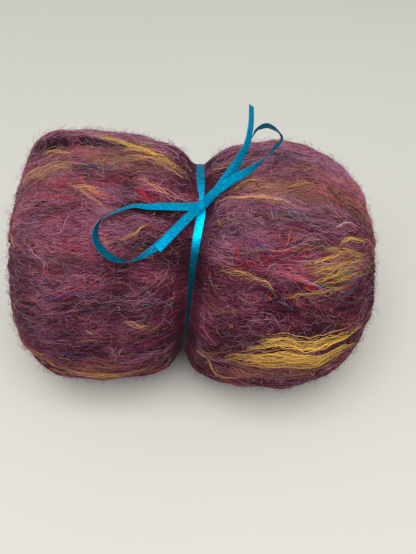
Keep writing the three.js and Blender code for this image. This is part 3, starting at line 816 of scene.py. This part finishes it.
# Silk locks
# Locks of gold and peach tussah silk and a few bright threads that the carding drew out along the roll. Each
# row is one lock: its dye, how many strands, how wide it spreads in mm, and its path as mm along and degrees
# round the roll.
LOCKS = [
    ("gold", 16, 1.5, [
        (-93, 111), (-77, 111), (-61, 110), (-50, 107), (-40, 106), (-31, 104), (-26, 102), (-16, 101),
        (-7, 100),
    ]),
    ("peach", 14, 1.8, [(-61, 101), (-50, 104), (-38, 104), (-29, 104), (-18, 101)]),
    ("peach", 12, 2.2, [(-56, 92), (-45, 97), (-34, 98), (-25, 96), (-18, 95), (-9, 92)]),
    ("ochre", 14, 2.0, [(-115, 100), (-107, 101), (-99, 100), (-89, 95)]),
    ("ochre", 14, 1.5, [(-127, 88), (-121, 87), (-115, 85), (-107, 81), (-99, 76)]),
    ("peach", 8, 1.2, [(-108, 81), (-105, 82), (-97, 84), (-89, 83), (-82, 81)]),
    ("orange", 6, 0.4, [
        (-80, 81), (-79, 79), (-77, 76), (-74, 74), (-72, 72), (-68, 71), (-65, 70), (-58, 70), (-51, 70),
    ]),
    ("peach", 6, 0.4, [(-80, 73), (-76, 71), (-70, 69), (-65, 67), (-61, 65), (-56, 63)]),
    ("peach", 9, 1.4, [(-86, 74), (-80, 72), (-73, 72), (-67, 71), (-60, 71)]),
    ("peach", 6, 0.35, [
        (-55, 53), (-52, 52), (-47, 51), (-43, 52), (-39, 53), (-36, 54), (-35, 56), (-30, 58), (-25, 60),
        (-23, 62),
    ]),
    ("peach", 3, 0.3, [(-57, 52), (-58, 50), (-55, 49)]),
    ("peach", 6, 0.6, [(-46, 17), (-39, 16), (-32, 15), (-25, 15)]),
    ("ochre", 18, 1.3, [(-109, -8), (-99, -12), (-88, -14), (-77, -16), (-65, -17), (-44, -15), (-23, -22)]),
    ("ochre", 9, 1.2, [(14, 78), (22, 80), (29, 80), (34, 82), (39, 83), (47, 82), (54, 83)]),
    ("peach", 12, 1.1, [
        (12, 72), (20, 74), (27, 74), (34, 73), (40, 73), (47, 73), (56, 72), (65, 70), (73, 69),
    ]),
    ("ochre", 7, 0.9, [(62, 77), (67, 78), (72, 80), (77, 82), (84, 82)]),
    ("gold", 9, 1.2, [(100, 52), (103, 55), (108, 57), (115, 57), (124, 58)]),
    ("ochre", 10, 1.0, [(62, 29), (68, 30), (76, 31), (88, 32), (102, 33), (113, 35)]),
    ("gold", 8, 1.2, [(71, 43), (77, 44), (83, 44), (90, 45), (97, 47), (105, 49), (112, 50), (122, 51)]),
    ("gold", 8, 1.3, [(75, 37), (79, 39), (86, 41), (92, 42), (99, 43), (107, 45), (116, 46), (128, 45)]),
    ("gold", 8, 1.3, [(77, 35), (84, 37), (90, 38), (98, 40), (104, 42), (112, 43), (124, 41)]),
    ("gold", 7, 1.3, [(86, 34), (91, 36), (97, 37), (105, 39), (113, 40), (126, 39)]),
    ("gold", 6, 1.3, [(85, 47), (91, 49), (97, 51), (105, 50), (112, 49), (124, 49)]),
    ("peach", 9, 1.0, [(16, 37), (23, 39), (30, 39), (38, 38), (46, 37), (52, 35), (57, 32), (62, 30)]),
    ("gold", 28, 2.0, [
        (36, 5), (42, 8), (51, 10), (60, 11), (70, 11), (77, 9), (83, 9), (91, 9), (98, 10), (110, 10),
        (116, 10), (123, 9),
    ]),
    ("gold", 34, 2.7, [
        (23, -4), (33, 1), (43, 2), (51, 4), (65, 5), (75, 4), (88, 2), (95, 2), (104, 1), (111, 0),
        (118, -5), (123, -8),
    ]),
    ("gold", 20, 2.8, [(26, -5), (36, -4), (47, 0), (57, 0), (71, 2), (85, -1), (100, -2), (112, -5)]),
    ("ochre", 12, 0.9, [(0, -11), (6, -6), (12, -7), (16, -13), (19, -19), (26, -20), (33, -16), (42, -9)]),
    ("pale", 3, 0.2, [(98, 61), (102, 63), (104, 65), (108, 66), (111, 66)]),
    ("red", 5, 0.8, [(-94, 74), (-91, 75), (-87, 77)]),
    ("red", 10, 1.8, [(-37, 76), (-33, 72), (-30, 70), (-32, 68)]),
    ("red", 8, 1.2, [(28, 50), (32, 48), (33, 46), (30, 45)]),
]
LOCK_POINTS = 14
# The share of the path where its strands start and end, their waves and their rise off the skin in mm, how
# their dye varies, and how thick they are in mm.
LOCK_START = (-0.04, 0.30)
LOCK_END = (0.72, 1.04)
LOCK_WAVE = {"size": 0.85, "long": (8, 20)}
LOCK_RISE = (0.5, 1.5)
LOCK_VALUE = (-0.05, 0.28)
LOCK_THICK = (0.16, 0.36)
# Tussah silk: smoother and glossier than the wool.
silk = fibre_material("tussah_silk", 0.5, 0.1, 0.35)
lock_arch = np.sin(math.pi * np.linspace(0.04, 0.96, LOCK_POINTS)) ** 0.5
places, colours, thick = [], [], []
for name, count, spread, path in LOCKS:
    path = np.array(path, dtype=float)
    lengths = np.linalg.norm(np.diff(path * (1, MM_A_DEGREE), axis=0), axis=1)
    reached = np.concatenate([[0], np.cumsum(lengths)])
    start = random.uniform(*LOCK_START, count) * reached[-1]
    end = random.uniform(*LOCK_END, count) * reached[-1]
    wave_phase = random.uniform(0, 2 * math.pi, count)
    wave_long = random.uniform(*LOCK_WAVE["long"], count)
    aside = random.normal(0, spread, count)
    for index in range(count):
        at = np.linspace(start[index], end[index], LOCK_POINTS)
        wave = LOCK_WAVE["size"] * np.sin(2 * math.pi * at / wave_long[index] + wave_phase[index])
        degrees = np.interp(at, reached, path[:, 1]) + (aside[index] + wave) / MM_A_DEGREE
        column = (degrees + 90) / 360 * ROUND
        row = []
        for place_x, place_column in zip(np.interp(at, reached, path[:, 0]), column):
            profile_x = np.maximum.accumulate(body[:, int(round(place_column)) % ROUND, 0])
            row.append(np.interp(place_x, profile_x, np.arange(ROWS)))
        row = np.array(row)
        rise = random.uniform(*LOCK_RISE) * lock_arch
        places.append(sample(body, row, column) + sample(body_out, row, column) * rise[:, None])
        colours.append(dye_colours[dye_names.index(name)] * math.exp(random.normal(*LOCK_VALUE)))
        thick.append(random.uniform(*LOCK_THICK))
places = lay_down(np.array(places))
make_strands("silk_locks", places, tapered(LOCK_POINTS, np.array(thick)), np.array(colours), silk)

# Flecks
# Bits of bright waste thread and neps carded in, each a short curl of one colour.
FLECKS = {"count": 700, "length": (2.5, 8), "sway": (0.1, 0.4), "swing": (4, 9), "curl": 0.35}
FLECK_LIFT = (0.3, 0.8)
FLECK_VALUE = (-0.1, 0.25)
FLECK_THICK = (0.20, 0.42)
FLECK_POINTS = 6
FLECK_DYES = {"red": 34, "orange": 16, "gold": 14, "blue": 12, "teal": 6, "green": 9, "peach": 9}
count = FLECKS["count"]
row, column = scatter(count)
heading = random.uniform(0, 2 * math.pi, count)
places, outs = comb_out(row, column, heading, habits(FLECKS), FLECK_POINTS)
places = lay_down(places + outs * random.uniform(*FLECK_LIFT, count)[:, None, None])
weights = np.array([FLECK_DYES.get(name, 0) for name in dye_names], dtype=float)
fleck_dye = random.choice(len(dye_names), size=count, p=weights / weights.sum())
colours = dye_colours[fleck_dye] * np.exp(random.normal(*FLECK_VALUE, count))[:, None]
thick = tapered(FLECK_POINTS, random.uniform(*FLECK_THICK, count))
make_strands("fleck_threads", places, thick, colours, merino)

# Ribbon
# One length of quarter-inch single-faced satin, tied round the waist in a bow. It is built as its band, its
# knot, two loops and two free ends, each a thin closed strip with the fine cross ribs of the weave.
RIBBON_WIDTH = 6.0
RIBBON_THICK = 0.4
STRIP_STEPS = 12
# Each strip's middle line from the knot out, in mm, and how far it is turned from facing the camera, in
# degrees.
FACING = np.array([0, -1, 1]) / math.sqrt(2)
STRIPS = {
    "left_loop": [
        (5, -18, 158, 10), (-5, -24, 162, 15), (-20, -30, 167, 30), (-30, -33, 169, 45), (-40, -35, 171, 60),
        (-52, -42, 171, 72), (-60, -49, 170, 88), (-63, -58, 166, 118), (-61, -64, 162, 130),
        (-55, -69, 158, 132), (-48, -71, 155, 122), (-41, -71, 154, 100), (-34, -68, 154, 70),
        (-24, -60, 156, 35), (-14, -48, 158, 15), (-5, -34, 159, 10), (5, -18, 158, 10),
    ],
    "right_loop": [
        (6, -18, 158, 10), (13, -17, 168, 10), (26, -13, 178, 15), (38, -8, 183, 45), (49, 1, 187, 92),
        (58, 14, 190, 122), (60, 22, 190, 95), (57, 29, 190.5, 60), (50, 35, 190.5, 42), (44, 31, 190, 58),
        (41, 25, 190, 80), (35, 15, 187, 60), (30, 5, 182, 35), (23, -5, 176, 20), (15, -14, 168, 10),
        (6, -18, 158, 10),
    ],
    "upper_end": [
        (6, -18, 158, 10), (17, -13, 170, 22), (26, -7, 178, 38), (31, -1, 186, 42), (36, 4, 197, 47),
        (38, 12, 207, 51), (38, 24, 214, 56),
    ],
    "lower_end": [(5, -18, 158, 5), (-4, -37, 162, 5), (-14, -53, 161, 5), (-22, -62, 157, 5)],
}


def smooth_line(rows):
    """Points of a smooth line through table rows, evenly many between each two, for every column."""
    rows = np.array(rows, dtype=float)
    gaps = np.maximum(np.linalg.norm(np.diff(rows[:, :3], axis=0), axis=1), 1e-6) ** 0.5
    knots = np.concatenate([[0], np.cumsum(gaps)])
    ends = np.concatenate([[2 * rows[0] - rows[1]], rows, [2 * rows[-1] - rows[-2]]])
    marks = np.concatenate([[-gaps[0]], knots, [knots[-1] + gaps[-1]]])
    line = []
    for index in range(len(rows) - 1):
        p, t = ends[index:index + 4], marks[index:index + 4]
        last = index == len(rows) - 2
        for step in range(STRIP_STEPS + last):
            at = t[1] + (t[2] - t[1]) * step / STRIP_STEPS
            a = [((t[k + 1] - at) * p[k] + (at - t[k]) * p[k + 1]) / (t[k + 1] - t[k]) for k in range(3)]
            b = [((t[k + 2] - at) * a[k] + (at - t[k]) * a[k + 1]) / (t[k + 2] - t[k]) for k in range(2)]
            line.append(((t[2] - at) * b[0] + (at - t[1]) * b[1]) / (t[2] - t[1]))
    return np.array(line)


# Half a section, from edge to edge: place across and height, as shares of half the width and thickness.
ACROSS = np.array([-1, -0.93, -0.5, 0, 0.5, 0.93, 1])
EDGE = np.array([0.35, 0.9, 1, 1, 1, 0.9, 0.35])


def strip_sections(middles, across, out, width, thick):
    """Rings of a ribbon's section round its middle line: seven points over the face, seven back under it."""
    top = middles[:, None] + across[:, None] * (ACROSS * width / 2)[None, :, None]
    top = top + out[:, None] * (EDGE * thick / 2)[None, :, None]
    under = middles[:, None] + across[:, None] * (ACROSS[::-1] * width / 2)[None, :, None]
    under = under - out[:, None] * (EDGE[::-1] * thick / 2)[None, :, None]
    return np.concatenate([top, under], axis=1)


def strip_piece(name, rings, closed, material, face_highlight_and_shade, back_dull_and_shade):
    """A ribbon piece from its rings, closed in a loop or capped at both ends, with the painted highlight and
    shade of its two sides.
    """
    count, round_it = rings.shape[:2]
    faces = grid_faces(count, round_it, closed)
    if not closed:
        faces.append(tuple(range(round_it))[::-1])
        faces.append(tuple((count - 1) * round_it + corner for corner in range(round_it)))
    piece = add_piece(name, rings.reshape(-1, 3), faces, material)
    faces_out(piece)
    corner_vertex = np.zeros(len(piece.data.loops), dtype=int)
    piece.data.loops.foreach_get("vertex_index", corner_vertex)
    middles = rings.mean(axis=1)
    reached = np.concatenate([[0], np.cumsum(np.linalg.norm(np.diff(middles, axis=0), axis=1))])
    across = np.concatenate([ACROSS, ACROSS[::-1]]) * RIBBON_WIDTH / 2
    weave_map = piece.data.uv_layers.new(name="weave")
    weave_uv = np.stack([reached[corner_vertex // round_it], across[corner_vertex % round_it]], axis=1)
    weave_map.uv.foreach_set("vector", weave_uv.astype(np.float32).ravel())
    # Each side's painted highlight and shade goes in the gloss attribute.
    sides = np.where(np.arange(round_it) < round_it // 2, 1.0, 0.0)[None, :]
    side_highlight_and_shade = sides * np.asarray(face_highlight_and_shade).reshape(-1, 1) + (1 - sides) * back_dull_and_shade
    add_values(piece.data, "gloss", "FLOAT", "value", np.broadcast_to(side_highlight_and_shade, (count, round_it)))
    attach(piece, "root")
    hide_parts("ribbon")
    return piece


# Polyester satin: a turquoise sheen, with ribs across every 0.6 mm, a little coarser than the real weave, that
# catch the light unevenly, in their bumps and in glints painted into the colour. Single-faced: its duller back
# is painted darker, which also stands in for the shade on the loops' inner faces. The gloss attribute carries
# that, and the painted highlight and shade that set how bright the face looks along the ribbon.
satin, tree, surface = new_material("polyester_satin")
weave = add_node(tree, "ShaderNodeUVMap", {}, uv_map="weave")
rib_place = add_node(tree, "ShaderNodeMapping", {"Vector": weave.outputs["UV"], "Scale": (1.7, 0.35, 1.0)})
ribs = add_node(
    tree, "ShaderNodeTexNoise", {"Vector": rib_place.outputs["Vector"], "Scale": 1.0, "Detail": 2.0},
)
clear_ribs = add_node(
    tree, "ShaderNodeMapRange", {"Value": ribs.outputs["Fac"], "From Min": 0.36, "From Max": 0.64},
)
# Painted glints: the ribs' noise mixes a darker and a brighter teal into the colour.
tone = add_node(
    tree, "ShaderNodeMix",
    {"Factor": clear_ribs.outputs["Result"], "A": linear("#006993"), "B": linear("#00a2ce")}, data_type="RGBA",
)
# The gloss attribute scales the colour: painted highlight and shade.
gloss = add_node(tree, "ShaderNodeAttribute", {}, attribute_name="gloss")
shaded = add_node(
    tree, "ShaderNodeVectorMath", {0: tone.outputs["Result"], "Scale": gloss.outputs["Fac"]}, operation="SCALE",
)
bump = add_node(tree, "ShaderNodeBump", {"Height": ribs.outputs["Fac"], "Strength": 0.5, "Distance": 0.0002})
add_surface(tree, surface, {
    "Base Color": shaded.outputs[0], "Normal": bump.outputs["Normal"], "Roughness": 0.5, "Metallic": 0.2,
    "Specular IOR Level": 0.1, "Specular Tint": linear("#00cbf3"),
})

# The band's middle line lies this far outside the inner face of the solid's band, in mm.
BAND_OFF = 0.8
# How far each back's colour is scaled down: its duller weave, and painted shade.
BACK_DULL_AND_SHADE = {"band": 0.3, "strips": 0.35}
band_middles = []
for angle, x, inner in zip(band_angles, band_x, band_inner):
    radius = inner + BAND_OFF
    band_middles.append((x, AXIS_Y - radius * math.cos(angle), AXIS_Z + radius * math.sin(angle)))
band_middles = np.array(band_middles)
band_out = np.stack([0 * band_angles, -np.cos(band_angles), np.sin(band_angles)], axis=1)
band_across = np.tile(np.array([1.0, 0, 0]), (BAND_STEPS, 1))
# Painted highlight and shade on the band's face, by degrees round the roll: a painted highlight just below
# the knot, painted shade where the lobes close over it.
BAND_HIGHLIGHT_AND_SHADE = [
    (-90, 0.1), (20, 0.1), (36, 0.13), (46, 0.22), (52, 0.9), (57, 3.0), (70, 3.2), (80, 1.6), (95, 0.8),
    (180, 0.6), (270, 0.12),
]
band_degrees = (np.degrees(band_angles) + 90) % 360 - 90
band_highlight_and_shade = np.interp(band_degrees, *np.array(BAND_HIGHLIGHT_AND_SHADE).T)
# It gathers to about 0.6 of its width where the knot draws it in from behind.
DRAWN_IN = [(-90, 1), (73, 1), (77, 0.6), (82, 0.62), (92, 1), (270, 1)]
band_width = np.interp(band_degrees, *np.array(DRAWN_IN).T)
band_across = band_across * band_width[:, None]
band_rings = strip_sections(band_middles, band_across, band_out, RIBBON_WIDTH, RIBBON_THICK)
strip_piece("ribbon_band", band_rings, True, satin, band_highlight_and_shade, BACK_DULL_AND_SHADE["band"])

# Painted shade along each strip, by share of its points from the knot: darker where its shaded side shows.
STRIP_SHADE = {
    "left_loop": [(0, 0.95), (0.47, 1.0), (0.52, 0.7), (0.62, 0.65), (0.7, 0.95), (1, 0.95)],
    "right_loop": [(0, 0.95), (0.34, 0.9), (0.42, 0.3), (0.62, 0.22), (0.72, 0.8), (1, 0.95)],
    "upper_end": [(0, 0.9), (1, 0.85)],
    "lower_end": [(0, 1.0), (1, 1.0)],
}

for name, rows in STRIPS.items():
    line = smooth_line(rows)
    middles = line[:, :3]
    along = np.gradient(middles, axis=0)
    along /= np.linalg.norm(along, axis=1, keepdims=True)
    sideways = np.cross(along, FACING)
    sideways /= np.linalg.norm(sideways, axis=1, keepdims=True)
    turn = np.radians(line[:, 3])[:, None]
    across = sideways * np.cos(turn) + np.cross(along, sideways) * np.sin(turn)
    out = np.cross(across, along)
    rings = strip_sections(middles, across, out, RIBBON_WIDTH, RIBBON_THICK)
    strip_shade = np.interp(np.linspace(0, 1, len(rings)), *np.array(STRIP_SHADE[name]).T)
    piece = strip_piece("ribbon_" + name, rings, False, satin, strip_shade, BACK_DULL_AND_SHADE["strips"])
    path = [tuple(float(c) * MM for c in point) for point in middles]

# Knot
# The ribbon's last turn, pulled tight over the crossing: a small pillow with folds along the band.
KNOT = {
    "at": (5.2, -18.8, 159.0), "half": (3.3, 4.4, 2.9), "round": 30, "down": 18, "squared": 0.8, "folds": 7,
    "fold": 0.16, "skew": 1.2,
}
knot_angle = math.radians(SEAT["knot"])
knot_out = np.array([0, -math.cos(knot_angle), math.sin(knot_angle)])
knot_along = np.array([0, math.sin(knot_angle), math.cos(knot_angle)])
knot_points = []
for down in range(KNOT["down"] + 1):
    tilt = math.pi * down / KNOT["down"]
    for step in range(KNOT["round"]):
        turn = 2 * math.pi * step / KNOT["round"]
        unit = np.array([math.sin(tilt) * math.cos(turn), math.cos(tilt), math.sin(tilt) * math.sin(turn)])
        unit = np.sign(unit) * np.abs(unit) ** KNOT["squared"]
        unit[2] *= 1 + KNOT["fold"] * math.cos(turn * KNOT["folds"] + KNOT["skew"] * unit[1])
        size = np.array(KNOT["half"]) * unit
        across = np.array([size[0], 0, 0])
        knot_points.append(np.array(KNOT["at"]) + across + size[1] * knot_along + size[2] * knot_out)
knot = add_piece("ribbon_knot", knot_points, grid_faces(KNOT["down"] + 1, KNOT["round"]), satin)
# Each end ring of the pillow lies in one point.
merged = bmesh.new()
merged.from_mesh(knot.data)
bmesh.ops.remove_doubles(merged, verts=merged.verts, dist=1e-6)
merged.to_mesh(knot.data)
merged.free()
faces_out(knot)
add_values(knot.data, "gloss", "FLOAT", "value", np.ones(len(knot.data.vertices)))
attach(knot, "root")
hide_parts("ribbon")
